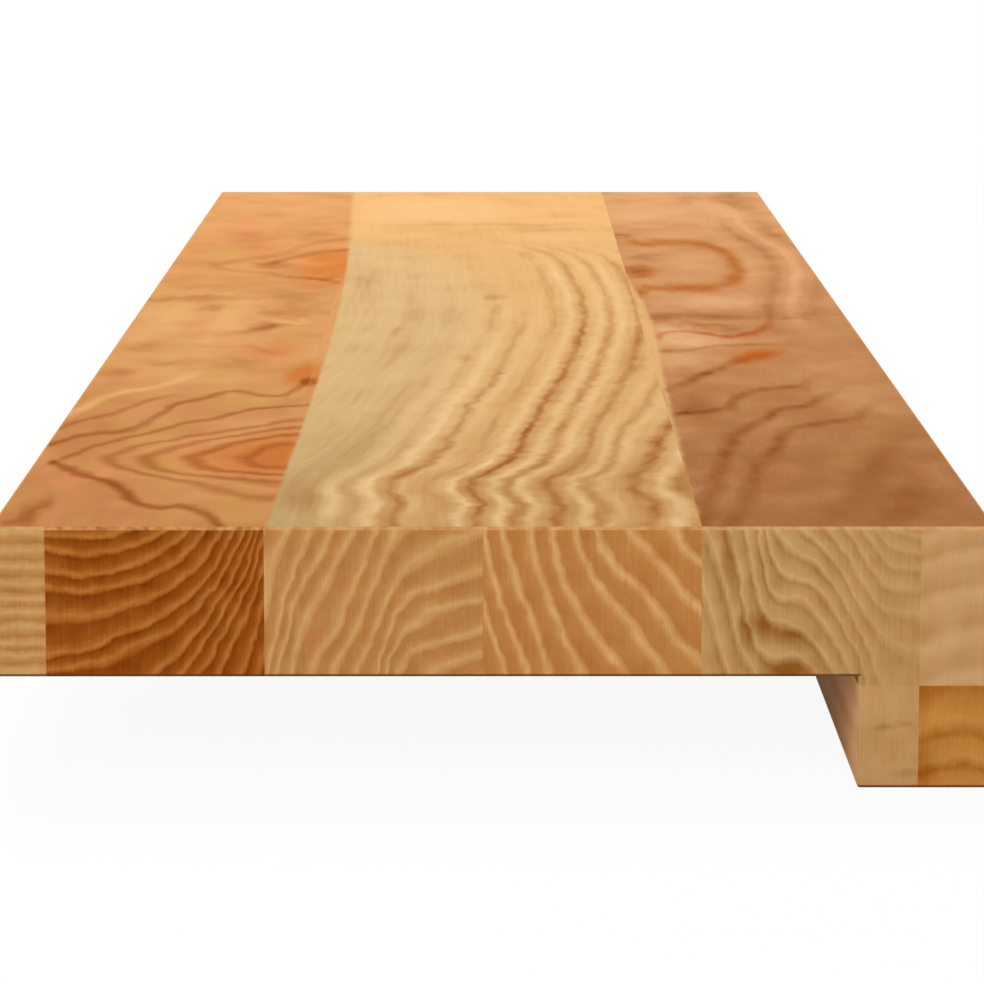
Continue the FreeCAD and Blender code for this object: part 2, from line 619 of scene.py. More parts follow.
# %% Lines of the back plank
BACK_LINES = {
    "lower flank": (6.0, -0.44, [(3, 6)], [
        (-20, 180), (0, 124), (5, 113), (11, 102), (19, 85), (27, 69), (31, 57), (36, 42), (41, 33), (48, 33),
        (53, 26), (58, 12), (61, 0), (74, -45)]),
    "wandering line": (5.4, -0.32, [], [
        (-20, 130), (0, 148), (9, 169), (20, 178), (25, 192), (29, 214), (33, 236), (38, 247), (44, 258),
        (50, 265), (58, 258), (64, 256), (68, 270), (71, 288), (76, 320)]),
    "thin line": (5.0, -0.24, [(36, 22)], [
        (-20, 160), (0, 182), (7, 198), (13, 210), (17, 225), (21, 237), (27, 250), (72, 330)]),
    "pale line": (8.0, 0.32, [(40, 26)], [
        (-20, 170), (0, 212), (9, 252), (14, 265), (21, 275), (27, 290), (32, 304), (72, 400)]),
    "far upper flank": (10.0, -0.12, [(14, 26)], [
        (-20, 600), (15, 646), (18, 655), (22, 666), (31, 678), (39, 691), (45, 706), (55, 745), (72, 765)]),
    "far lower flank": (10.0, -0.16, [(12, 24)], [
        (-20, 700), (15, 664), (18, 652), (22, 641), (31, 631), (38, 628), (50, 612), (62, 600), (76, 586)]),
    "far inner line": (9.0, -0.2, [(34, 44)], [
        (-20, 560), (36, 652), (41, 664), (47, 681), (56, 700), (62, 711), (68, 716), (90, 724)]),
    "brown dash": (11.0, -0.22, [(30, 46), (62, 52)], [
        (-20, 380), (34, 419), (40, 424), (46, 432), (51, 440), (56, 446), (72, 452)]),
    "wavy line": (6.0, -0.1, [(24, 36), (66, 54)], [
        (-20, 400), (20, 386), (33, 382), (47, 382), (52, 372), (58, 362), (72, 350)])}
figure = draw_lines(figure, across, bent, BACK_LINES.values())
print("back plank:", ", ".join(BACK_LINES))

# %% [markdown]
# The stretch between the swirls is hazy, with soft bands across the plank, and the wood round the hearts
# of the swirls is a stronger orange. At the far end the rim beside the middle plank is pale sapwood. Its
# border bows away from the straight glue line, so it is a curve along the board.

# %% Colours of the back plank
BACK_SMUDGES = [
    ((8, 22), (5, 30), -0.32, 2.0), ((42, 657), (9, 14), -0.2), ((18, 533), (30, 12), -0.2, 0.1),
    ((60, 552), (26, 34), -0.16), ((30, 581), (28, 14), -0.1, 0.2), ((50, 440), (7, 14), -0.16),
    ((56, 494), (24, 26), -0.2), ((13, 480), (12, 50), 0.24), ((36, 470), (10, 70), 0.2),
    ((55, 790), (14, 24), -0.14, 1.0), ((25, 770), (18, 30), -0.1), ((20, 310), (14, 24), 0.1),
    ((10, 424), (12, 26), 0.18), ((63, 605), (16, 9), -0.2), ((22, 340), (14, 14), -0.14),
    ((8, 312), (8, 14), -0.16), ((9, 380), (10, 20), -0.16), ((38, 348), (15, 12), -0.1),
    ((48, 338), (10, 17), -0.12), ((27, 502), (7, 14), -0.2), ((58, 459), (11, 6), 0.26),
    ((30, 402), (10, 9), 0.18), ((40, 300), (14, 18), 0.08)]
# Each change makes the plank paler towards the far end, partly its own colour and partly painted light.
ORANGE_CHANGES = [
    (tint(208, 149, 90), 150, 360), (tint(206, 142, 83), 520, 640), (tint(210, 150, 94), 700, 1000)]
ORANGE_HEARTS = [((68, 652), (20, 84), 0.85), ((70, 308), (8, 40), 0.9), ((57, 372), (13, 40), 0.5, 1.0)]
SAPWOOD_EDGE = [
    (-200, 78), (560, 77), (640, 74.5), (700, 72), (800, 69.6), (900, 67.2), (1000, 64.8), (1200, 59)]


def orange_colour(place, haze, ring):
    """Colour of the orange timber, with stronger orange at the heart of each swirl."""
    colour = colour_and_painted_light_along(place[1], tint(196, 131, 75), ORANGE_CHANGES)
    colour = hue_clouds(growth(place, 13, 48, 8), colour, tint(196, 148, 68), tint(222, 140, 92), 0.6)
    heart = draw_smudges(fade(ring, 0.8, 0.1) * 0.8, *haze, ORANGE_HEARTS)
    return blend(colour, tint(203, 114, 44), heart)


haze = hazy_place(place)
fibres = fibre_streaks(place)
figure = draw_smudges(figure, *haze, BACK_SMUDGES)
figure = figure + growth(place, 20, 34, 6) * 0.13 + fibres * 0.02 + side_grain(place)
sapwood = fade(across - drawn_curve(along, SAPWOOD_EDGE), -1.8, 1.8) * fade(depth, 25, 8)
sapwood_colour = colour_and_painted_light_along(along, tint(205, 168, 115), [(tint(221, 170, 108), 735, 830)])
wood = blend(orange_colour(place, haze, ring), sapwood_colour, sapwood)
figure = quieter(figure, sapwood)
colour = figure_colours(figure, wood, tint(152, 78, 26), tint(226, 174, 112))
oil(back_wood, place, colour, figure, fibres)

# %% [markdown]
# ## The middle plank
# The pale plank in the middle was sawn closer to the heart of the tree, so its rings show as long lines
# that swing along the plank. The swing is drawn once as a curve, small jags shake all the lines together,
# and the ramp draws the lines across it. The lines at the front swing a little later, and the paler lines
# at the back fade out first.

# %% Lines of the middle plank
SWING = [
    (-200, -10), (0, 0), (40, 2), (67, -1), (104, 7), (129, 12), (175, 15.5), (217, 19.5), (300, 28.4),
    (387, 35), (450, 39), (520, 40), (600, 38), (680, 33), (725, 22), (760, 5), (800, -32), (1000, -120)]
LINE_TONES = [
    (60, 0.50), (83, 0.48), (88, 0.72), (92.5, 0.46), (98.3, 0.84), (101.5, 0.50), (104.5, 0.24), (108, 0.68),
    (112, 0.54), (115.5, 0.38), (118.5, 0.55), (122, 0.90), (124.5, 0.48), (127, 0.08), (129.5, 0.48),
    (133, 0.84), (137, 0.26), (141, 0.82), (144.5, 0.50), (148, 0.16), (151, 0.48), (155, 0.76),
    (159.5, 0.36), (163.5, 0.74), (168.5, 0.50), (173.5, 0.10), (177, 0.50), (181, 0.88), (187, 0.28),
    (194, 0.64), (206, 0.38), (225, 0.5)]

middle_wood, place = new_wood("middle_plank_wood", lean=0.5, slide=2.0)
across, along, depth = place
jags = growth(place, 70, 15, 1) * 1.3 + growth(place, 12, 10, 2) * 1.1 + growth(place, 3, 5, 3) * 0.3
jags = jags * (1.0 - fade(along, 260, 480) * 0.5)
late_swing = fade(across, 158, 176) * fade(along, 70, 112) * fade(along, 240, 150) * 5.5
lines = across - drawn_curve(along, SWING) + jags + late_swing
back_share = fade(along, 620, 280)
front_share = fade(along + growth(place, 20, 60, 9) * 40, 780, 610)
front_share = front_share * (0.95 - fade(along, 150, 300) * 0.1 - fade(along, 380, 560) * 0.22)
presence = back_share + (front_share - back_share) * fade(lines, 104, 118)
presence = presence * (growth(place, 9, 24, 10) * 0.45 + 0.95)
figure = 0.5 + (drawn_tones(lines, LINE_TONES) - 0.5) * presence
print(len(LINE_TONES), "tones across the middle plank")

# %% [markdown]
# Between the lines the wood has fine streaks that swing with them, and a few smudges. The swing of the
# streaks is calmer than that of the lines, so it has a curve of its own.

# %% Streaks of the middle plank
STREAK_SWING = [
    (-200, -10), (0, 0), (70, 0), (130, 11), (300, 28), (450, 39), (600, 38), (1000, 20)]
MIDDLE_SMUDGES = [
    ((135, 831), (56, 12), -0.11), ((160, 806), (64, 16), -0.08), ((134, 534), (8, 9), -0.16),
    ((134, 490), (4, 24), -0.14, 4.0), ((98, 432), (3, 18), -0.16, 5.0), ((81, 597), (8, 26), -0.12),
    ((122, 350), (4, 14), -0.2), ((88, 40), (4, 26), 0.2), ((105, 900), (40, 70), 0.18),
    ((183, 72), (4, 22), -0.3), ((80, 52), (6, 34), -0.22), ((106, 96), (5, 16), -0.14),
    ((160, 770), (20, 22), 0.12)]

swung = (across - drawn_curve(along, STREAK_SWING) + jags * 0.5, along, depth)
fibres = fibre_streaks(swung)
streaks = growth(swung, 1.8, 40, 11) * 0.08 + growth(swung, 8, 260, 12) * 0.12
streaks = streaks * (1.0 - fade(along, 560, 800) * 0.6)
figure = draw_smudges(figure, across, along + growth(place, 16, 30, 13) * 10, MIDDLE_SMUDGES)
figure = figure + streaks + growth(place, 30, 40, 6) * 0.08 + fibres * 0.02 + side_grain(place)
print(len(MIDDLE_SMUDGES), "smudges on the middle plank")

# %% [markdown]
# The back of the plank is paler than its lined front, and the border swings too. Along the glue line to
# the back plank runs a narrow edge of the orange timber: the colour doesn't stop at the joint but bows over
# it. So this edge is coloured by the same rings as the back plank, and they run on over the joint.

# %% Colours of the middle plank
PALE_SWING = [
    (-200, -10), (0, 0), (70, 0), (130, 11), (300, 28), (450, 38), (560, 36), (640, 27), (700, 12),
    (760, -18), (820, -62), (1000, -160)]
ORANGE_EDGE = [
    (-200, 71), (0, 72.6), (110, 73.5), (200, 74.4), (300, 75), (400, 75.3), (500, 74.8), (620, 73.4),
    (720, 71.6), (800, 70), (1200, 62)]

pale = colour_and_painted_light_along(along, tint(191, 157, 105), [(tint(208, 171, 117), 30, 260)])
lined = colour_and_painted_light_along(along, tint(197, 149, 90), [(tint(213, 166, 105), 30, 260)])
wood = blend(pale, lined, fade(across - drawn_curve(along, PALE_SWING) + jags, 74, 110))
# Paler still at the far end, partly its own colour and partly painted light.
wood = blend(wood, tint(221, 170, 108), fade(along + growth(place, 30, 30, 8) * 25, 700, 860))
orange = fade(across - drawn_curve(along, ORANGE_EDGE), 0.8, -0.8)
ring, orange_figure = near_rings(place, bent_place(place, *BACK_BEND))
wood = blend(wood, orange_colour(place, hazy_place(place), ring), orange)
figure = figure + (orange_figure - figure) * orange
colour = figure_colours(figure, wood, tint(160, 94, 36), tint(231, 192, 138))
oil(middle_wood, place, colour, figure, fibres)

# %% [markdown]
# ## The front plank
# The red-brown plank at the front shows the side of an oval near the end, and a loop where a knot lies
# close below the surface. The arcs of the oval are too uneven for a formula, so they are drawn one by one,
# like the wavy lines that cross the plank before the loop. One broad line runs along the plank past it.

# %% Lines of the front plank
FRONT_BEND = (12, 26, 0.8, 2.4)
FRONT_ARCS = [
    (8.0, -0.24, [(240, 214)], [
        (150, 200), (184, 260), (191, 275), (204, 310), (214, 337), (221, 352), (264, 380)]),
    (7.0, -0.26, [(250, 224)], [
        (150, 195), (184, 208), (191, 213), (206, 227), (212, 256), (222, 271), (233, 277), (238, 298),
        (264, 340)]),
    (7.5, -0.30, [(252, 226)], [
        (150, -400), (188, 12), (192, 52), (197, 96), (201, 133), (206, 167), (216, 200), (222, 219),
        (233, 236), (238, 252), (264, 300)]),
    (7.5, -0.28, [(262, 236)], [
        (150, -330), (190, -25), (198, 25), (204.5, 71), (208.4, 104), (216, 142), (221, 173), (232, 192),
        (244, 202), (250, 225), (264, 260)]),
    (11.0, -0.14, [(264, 238)], [
        (150, -500), (210, -60), (221, 10), (232, 54), (242, 108), (252, 150), (264, 190)])]
FRONT_LINES = {
    "grey line": (7.0, -0.22, [(244, 222)], [
        (150, 360), (191, 369), (201, 373), (212, 385), (222, 388), (264, 394)]),
    "olive line": (17.0, -0.24, [(244, 222)], [
        (150, 470), (195, 474), (204, 479), (218, 472), (264, 478)])}
RED_LINE = [
    (150, 380), (191, 410), (195, 422), (201, 428), (208, 424), (217, 412), (224, 419), (231, 437),
    (234, 450), (238, 500), (264, 600)]
PAST_LOOP = [
    (380, 237), (469, 237), (512, 238), (550, 242), (594, 245), (637, 249), (687, 249.5), (737, 246),
    (781, 241), (850, 238), (1000, 240)]
PAST_LOOP_TONES = [
    (-14, 0.50), (-9, 0.56), (-5, 0.48), (0, 0.36), (4, 0.50), (8, 0.74), (13, 0.52), (17, 0.42), (24, 0.50)]

front_wood, place = new_wood("front_plank_wood", lean=-0.7, slide=2.5)
across, along, depth = place
bent = bent_place(place, *FRONT_BEND)
presence = (growth(place, 6, 16, 9) * 0.6 + 0.95) * (fade(along, 20, 140) * 0.4 + 0.6)
figure = draw_lines(0.5, across, bent, FRONT_ARCS, presence)
figure = draw_lines(figure, across, bent, FRONT_LINES.values())
red_line = stroke(*bent, RED_LINE, 7.0) * fade(across, 240, 226)
side_tones = drawn_tones(bent[0] - drawn_curve(bent[1], PAST_LOOP), PAST_LOOP_TONES)
side_line = fade(along, 400, 500) * fade(along, 960, 820) * (side_tones - 0.5)
figure = figure - red_line * 0.2 + side_line
print("front plank:", len(FRONT_ARCS), "arcs, red line,", ", ".join(FRONT_LINES))

# %% [markdown]
# The loop is a squarish ring, open towards the middle plank, with two dark spots in the opening. Its two
# ends bend outwards, which the ring doesn't, so they are single lines that take over from it.

# %% Loop of the front plank
LOWER_END = [(150, 500), (187, 546), (192, 561), (197, 570), (206, 568), (214, 572), (264, 600)]
UPPER_END = [(150, 780), (188, 758), (195, 748), (202, 744), (210, 748), (264, 760)]
LOOP_SPOTS = [((193, 632), (8, 28), 1.0), ((189, 779), (7, 13), 0.85)]

haze = hazy_place(place)
loop = rings(bent[0].along_range(206, 233), bent[1].along_range(660, 751), 2.7)
loop_distance = (loop - 1.0).step("ABSOLUTE") * (fade(across, 218, 231) * 0.3 + 1.0)
loop_line = fade(loop_distance, 0.28, 0.0) * fade(across, 196, 204)
lower_end = stroke(*bent, LOWER_END, 13.0) * fade(across, 207, 199)
upper_end = stroke(*bent, UPPER_END, 19.0) * fade(across, 208, 200) * fade(across, 189, 196)
loop_line = loop_line.step("MAXIMUM", lower_end).step("MAXIMUM", upper_end)
loop_line = loop_line * (growth(place, 12, 30, 11) * 0.5 + 0.9)
loop_spots = draw_smudges(0.0, across, haze[1], LOOP_SPOTS)
print("loop with", len(LOOP_SPOTS), "dark spots")

# %% [markdown]
# The plank is darkest at its near end and gets paler along it, partly its own colour and partly painted
# light. The red line, the loop, its spots and one orange spot have colours of their own. Half way along, the
# pale timber of the middle bows over the joint.

# %% Colours of the front plank
FRONT_SMUDGES = [
    ((197, 234), (9, 32), -0.22), ((242, 28), (12, 36), -0.24, 3.0), ((238, 86), (10, 34), -0.14, 2.0),
    ((250, 270), (16, 75), 0.1), ((198, 350), (17, 34), 0.26, 0.8), ((212, 446), (12, 9), -0.18),
    ((200, 306), (6, 16), -0.1, 1.0), ((200, 405), (22, 30), 0.42), ((194, 436), (14, 22), 0.3),
    ((195, 682), (9, 18), -0.16), ((214, 520), (26, 32), 0.24), ((205, 880), (24, 60), 0.14),
    ((238, 900), (10, 60), 0.24), ((255, 787), (11, 36), -0.16), ((216, 660), (14, 60), 0.08),
    ((250, 950), (16, 50), -0.18), ((228, 965), (8, 36), -0.1), ((247, 478), (6, 16), -0.2)]
FRONT_CHANGES = [
    (tint(181, 124, 73), 100, 330), (tint(194, 138, 88), 330, 620), (tint(205, 150, 100), 700, 960)]
PALE_EDGE = [
    (-200, 185.5), (0, 186.5), (100, 187), (200, 188), (300, 189), (380, 190.4), (440, 191), (500, 190.4),
    (560, 188.2), (620, 186.4), (720, 185), (1200, 183)]

fibres = fibre_streaks(place)
figure = draw_smudges(figure, *haze, FRONT_SMUDGES)
clouds = growth(place, 20, 34, 6) * 0.13 + growth(place, 0.8, 9, 7) * 0.035
figure = figure + clouds + fibres * 0.02 + side_grain(place)
wood = colour_and_painted_light_along(along, tint(165, 108, 62), FRONT_CHANGES)
wood = hue_clouds(growth(place, 13, 48, 8), wood, tint(176, 128, 66), tint(206, 134, 92), 0.35)
wood = blend(wood, tint(190, 98, 50), red_line * 0.85)
wood = blend(wood, tint(174, 95, 28), loop_line)
wood = blend(wood, tint(168, 80, 8), loop_spots * 0.9)
wood = blend(wood, tint(188, 92, 16), patch(across, bent[1], (223, 358), (12, 22), 1.5))
pale = fade(across - drawn_curve(along, PALE_EDGE) + growth(place, 4, 14, 12) * 0.7, 1.4, -1.0)
pale = pale * fade(depth, 25, 8)
pale_colour = colour_and_painted_light_along(along, tint(203, 158, 102), [(tint(214, 167, 108), 100, 400)])
wood = blend(wood, pale_colour, pale)
figure = quieter(figure, pale) + growth(place, 1.6, 70, 13) * pale * 0.15
colour = figure_colours(figure, wood, tint(132, 66, 20), tint(220, 170, 119))
oil(front_wood, place, colour, figure, fibres)

# %% [markdown]
# ## The lip
# The lip is glued up from two straight-grained offcuts of the same timber. Sawn along the rings, such a
# piece shows even lines along its length. A sine wave over a bent place makes them, so none is drawn.

# %% Long faces of the lip
LIP_WOODS = {
    # The inner stave's colours are painted paler than its wood, as painted light that lifts the shade under
    # the board.
    "lip_stave_1": ("lip_inner_wood_with_painted_light", 40, (tint(226, 174, 122), tint(204, 146, 96), tint(236, 190, 140))),
    "lip_stave_2": ("lip_front_wood", 50, (tint(178, 120, 66), tint(148, 82, 34), tint(200, 146, 90)))}


def lip_wood(name, seed, colours):
    """Straight grain for the long faces of a lip stave, from its plain, late and early wood."""
    material, place = new_wood(name)
    across, _, depth = place
    bend = growth(place, 30, 160, seed) * 3.0 + growth(place, 6, 30, seed + 1) * 0.6
    lines = across * 0.8 + depth * 0.7 + bend
    tones = (lines * 0.9).step("SINE") * 0.12 + 0.5
    fibres = fibre_streaks(place)
    figure = tones + growth(place, 12, 90, seed + 2) * 0.2 + fibres * 0.06
    oil(material, place, figure_colours(figure, *colours), figure, fibres)
    return material


lip_woods = {stave: lip_wood(*settings) for stave, settings in LIP_WOODS.items()}

# %% [markdown]
# ## End grain
# At an end the saw cuts straight through the growth rings, and each stave came from another part of the
# tree, so each shows its own bow of rings. A formula for circles would give bows that are too even.
# Instead the rings are counted along a few straight cuts over the end, as on a core sample, and the count
# is blended from cut to cut. A cut has its place, its first ring and the places where that ring and the
# next ones start. The fraction of the count then runs from 0 to 1 through every ring.

# %% Counting rings
MOST_RINGS = 20


def eased_share(field, start, stop):
    """A share that runs evenly from 0 to 1, with soft ends that reach a little over the next cuts."""
    spread = (stop - start) * 0.4
    shares = [fade(field, start + slip, stop + slip, "LINEAR") for slip in (-spread, 0.0, spread)]
    return (shares[0] + shares[1] + shares[2]) / 3


def ring_count(between, along_cut, cuts, step):
    """Ring count blended between cuts. Each cut has its place, its first ring and the starts of its rings."""
    counted = []
    for _, ring, starts in cuts:
        stops = [(start, (ring + number * step) / MOST_RINGS) for number, start in enumerate(starts)]
        counted.append(drawn_tones(along_cut, stops, "LINEAR") * MOST_RINGS)
    total = counted[0]
    for number in range(1, len(cuts)):
        share = eased_share(between, cuts[number - 1][0], cuts[number][0])
        total = total + (counted[number] - counted[number - 1]) * share
    return total


print("up to", MOST_RINGS, "rings can be counted")

# %% [markdown]
# The fraction of the count goes through a profile, the tones through one ring. Fine teeth and rays stand
# for the fibres that the saw tore. Stains are smudges, and clouds of red and olive tinge the wood. A cut
# stands upright, at a distance from the left joint, or lies flat, at a height above the underside.

# %% From rings to end grain
ABOVE_ZERO = 40
RED_HEART = tint(190, 104, 50)
OLIVE_HEART = tint(166, 124, 62)
end_woods = {}


def end_grain(name, cuts, profile, colours, flat_cuts=False, step=1, stains=(), teeth_length=0.4,
              calm_side=100):
    """Make an end grain material from ring cuts, the tones through one ring, and three colours.

    The step is -1 where the rings count down along a cut.
    """
    material, place = new_wood(name + "_end_wood")
    across, along, depth = place
    upright = (across, depth, along)
    teeth = growth(upright, 0.6, 3.0, 61)
    rays = growth(upright, 0.6, 12.0, 62)
    left_joint = (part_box(name)[0][0] - back_edge) * MILLIMETRES
    side = across - left_joint + growth(place, 4, 4, 63) * 0.6
    toothed = fade(growth(place, 7, 7, 67), -0.6, 0.6) * teeth_length
    height = (top - underside) * MILLIMETRES - depth + teeth * toothed + growth(place, 5, 5, 64) * 0.6
    between, along_cut = (height, side) if flat_cuts else (side, height)
    count = ring_count(between, along_cut, cuts, step)
    phase = (count + ABOVE_ZERO).step("FRACT")
    calm = 1.0 - fade(side, calm_side - 12, calm_side + 12) * 0.5
    strength = (growth(place, 4, 4, 66) * 0.45 + 0.95) * calm
    figure = 0.5 + (drawn_tones(phase, profile) - 0.5) * strength
    figure = draw_smudges(figure + rays * 0.08 + growth(place, 8, 6, 65) * 0.15, side, height, stains)
    wood, late, early = colours
    wood = hue_clouds(growth(place, 9, 7, 68), wood, RED_HEART, OLIVE_HEART, 0.3)
    oil(material, place, figure_colours(figure, wood, late, early), figure, rays)
    end_woods[name] = material


print("end grain ready")

# %% [markdown]
# ### The back stave
# A narrow strip with flat, even rings, so one cut is enough.

# %% End of the back stave
BACK_CUTS = [
    (0, 0, [2, 6, 9, 13.5, 17.5, 21, 25, 29.5, 34, 38.5])]
BACK_PROFILE = [(0.0, 0.82), (0.2, 0.6), (0.45, 0.25), (0.65, 0.4), (1.0, 0.82)]
end_grain(
    "board_stave_1", BACK_CUTS, BACK_PROFILE,
    (tint(182, 133, 76), tint(156, 99, 45), tint(198, 155, 100)))

# %% [markdown]
# ### The dark stave
# Heartwood, the darkest piece of the board. Its rings lie flat at the left and climb at the right. The
# cuts stand upright here, and on the way up the rings count down, because their sharp side faces up.

# %% End of the dark stave
DARK_CUTS = [
    (0, 8, [-4, 2, 5, 17, 24.5, 29, 35, 38, 44]),
    (10, 8, [-5, 4, 7.5, 16.5, 23, 26.5, 32.5, 37.5, 43]),
    (15, 8, [-5, 4.5, 8.5, 17, 24, 28, 33.5, 37.5, 43]),
    (20, 8, [-5, 8, 12, 19.5, 25, 29, 34.5, 39, 44]),
    (25, 8, [-4, 9.5, 13.5, 20.5, 26, 30.5, 36, 41]),
    (30, 9, [-4, 2, 11.5, 15.5, 22.5, 28.5, 33, 38, 43]),
    (36, 10, [-4, 1.5, 6.5, 15.5, 20, 26, 32.5, 37.5, 42]),
    (42, 11, [-3, 3.5, 10, 14, 21, 26, 31, 40.5]),
    (48, 12, [-6, 8.5, 14.5, 20, 23.5, 29, 35, 41]),
    (54, 13, [-6, 9, 21.5, 26.5, 33, 37.5, 43]),
    (57.5, 14, [-6, 8, 22.5, 31.5, 39, 44])]
DARK_PROFILE = [
    (0.0, 0.82), (0.13, 0.66), (0.28, 0.17), (0.45, 0.27), (0.65, 0.40), (0.84, 0.62), (1.0, 0.82)]
end_grain(
    "board_stave_2", DARK_CUTS, DARK_PROFILE,
    (tint(151, 80, 22), tint(116, 46, 2), tint(184, 117, 54)),
    step=-1, teeth_length=0.45)

# %% [markdown]
# ### The tan stave
# Rings that rise steeply and arch over at the right. Upright cuts would run along such rings, so its cuts
# lie flat.

# %% End of the tan stave
TAN_CUTS = [
    (1.5, 1, [-4, 0.5, 2.5, 7, 11.5, 17.5, 24, 29.5, 31.5, 34.5, 42, 60]),
    (7.5, 1, [-2, 2.5, 4.5, 8, 15.5, 21, 27, 31.5, 34, 38.5, 62]),
    (12.5, 1, [-2, 3.5, 6.5, 9, 19.5, 24, 29, 33, 36.5, 57]),
    (18, 1, [0.5, 4.5, 7, 11.5, 21, 26, 31, 35, 42, 70]),
    (22.5, 1, [1, 6, 8.5, 14.5, 23, 27.5, 33.5, 38, 66]),
    (27, 1, [1.5, 7.5, 11, 17, 25, 29.5, 35.5, 50.5, 80]),
    (31.5, 1, [2.5, 9, 14.5, 19, 26.5, 31, 38, 70]),
    (36, 0, [-2, 4.5, 11, 16.5, 21.5, 28, 33, 46, 80]),
    (39.5, 0, [-1, 6, 12, 17.5, 23.5, 29.5, 34.5, 60])]
TAN_PROFILE = [
    (0.0, 0.90), (0.14, 0.70), (0.3, 0.30), (0.55, 0.34), (0.8, 0.54), (0.9, 0.74), (1.0, 0.90)]
end_grain(
    "board_stave_3", TAN_CUTS, TAN_PROFILE,
    (tint(184, 131, 74), tint(160, 102, 48), tint(201, 156, 100)),
    flat_cuts=True, teeth_length=0.5)

# %% [markdown]
# ### The orange stave
# Few and wide rings that fall to the right. Its cuts lie flat too.

# %% End of the orange stave
ORANGE_CUTS = [
    (1, 0, [-1, 6, 12, 17, 26.5, 38, 48, 62]),
    (6, 0, [-2, 4.5, 10, 16, 23.5, 33, 44.5, 54.5, 68]),
    (10, 0, [-3, 3, 8.5, 14.5, 21.5, 30, 42, 50, 64]),
    (16, 0, [-5, 1, 6, 12.5, 19.5, 25.5, 37.5, 47, 60.5]),
    (22, 1, [-0.5, 4, 10, 17, 22.5, 32.5, 43, 52.5, 65]),
    (28.5, 1, [-3, 2, 7.5, 14.5, 20, 28, 34.5, 48, 60]),
    (34.5, 1, [-4, 1, 6, 13, 18.5, 25.5, 30.5, 43, 52, 64]),
    (38.5, 1, [-4, 0.5, 5, 12.5, 18, 24.5, 29.5, 38, 50.5, 60])]
ORANGE_PROFILE = [
    (0.0, 0.86), (0.11, 0.70), (0.25, 0.32), (0.5, 0.36), (0.76, 0.48), (0.89, 0.70), (1.0, 0.86)]
end_grain(
    "board_stave_4", ORANGE_CUTS, ORANGE_PROFILE,
    (tint(185, 127, 68), tint(164, 98, 42), tint(212, 164, 106)),
    flat_cuts=True, teeth_length=0.35)

# %% [markdown]
# ### The olive stave
# Rings that dip in the middle, with brown stains in the dip. Its cuts stand upright.

# %% End of the olive stave
OLIVE_CUTS = [
    (0, -1, [-6, 10.5, 27, 44]),
    (5, 0, [-6, 8.5, 28.5, 48]),
    (9, 1, [-8, 13.5, 33.5, 50]),
    (12, 1, [-6, 6, 15, 38, 50]),
    (15, 1, [-10, 0.5, 7.5, 23, 40]),
    (18, 2, [-6, 5.5, 15.5, 24, 33, 43]),
    (21, 2, [-6, 5.5, 15, 20.5, 28, 37, 45]),
    (25, 2, [-5, 7, 14, 22.5, 26.5, 33.5, 42]),
    (29, 2, [-6, 3.5, 10.5, 19.5, 25.5, 32, 37.5, 44]),
    (33, 3, [-2, 5, 13.5, 21.5, 27.5, 33.5, 40]),
    (37, 4, [-2, 7, 15, 21.5, 29, 34.5, 41]),
    (41, 5, [-1, 8, 13, 21, 27, 35.5, 41.5]),
    (45, 6, [-6, 4, 15, 21, 29, 36, 40]),
    (49, 7, [-4, 11, 18, 24, 30.5, 35.5, 40]),
    (57.5, 7, [-10, 6, 17, 24, 28.5, 33, 37, 41])]
OLIVE_PROFILE = [(0.0, 0.80), (0.14, 0.60), (0.4, 0.46), (0.7, 0.30), (0.86, 0.52), (1.0, 0.80)]
OLIVE_STAINS = [
    ((15.5, 14), (4, 5), -0.3), ((24, 11), (7, 4.5), -0.3), ((11.5, 12), (2.5, 8), -0.3),
    ((24, 2), (10, 4), -0.4), ((7, 29), (3, 13), -0.26)]
end_grain(
    "board_stave_5", OLIVE_CUTS, OLIVE_PROFILE,
    (tint(182, 141, 88), tint(140, 86, 32), tint(204, 166, 115)),
    stains=OLIVE_STAINS, calm_side=38)

# %% [markdown]
# ### The front stave and the lip
# Quiet pieces: broad, faint bands in the front stave, almost none in the lip's inner stave, and two dark
# arches in the lip's front stave.

# %% Ends of the front stave and the lip
FRONT_CUTS = [
    (0, 0, [-14, -4, 6.5, 18.5, 29, 36.5, 44]),
    (7, 0, [-12, -1, 9.5, 21.5, 32, 39.5]),
    (19.5, 0, [-10, 1.5, 12.5, 23.5, 33.5, 42])]
FRONT_PROFILE = [(0.0, 0.7), (0.3, 0.35), (0.6, 0.45), (0.85, 0.62), (1.0, 0.7)]
end_grain(
    "board_stave_6", FRONT_CUTS, FRONT_PROFILE,
    (tint(191, 147, 98), tint(172, 122, 74), tint(206, 162, 114)))

LIP_INNER_CUTS = [
    (0, 0, [-32, -13, 8])]
LIP_INNER_PROFILE = [(0.0, 0.5), (0.3, 0.55), (0.7, 0.48), (1.0, 0.5)]
LIP_INNER_STAINS = [
    ((7, -13.5), (4.5, 1.2), -0.3), ((12, -12.5), (3, 1), -0.2), ((13, -26), (4.5, 1.5), -0.3)]
end_grain(
    "lip_stave_1", LIP_INNER_CUTS, LIP_INNER_PROFILE,
    (tint(190, 147, 95), tint(160, 110, 58), tint(202, 162, 110)),
    stains=LIP_INNER_STAINS)

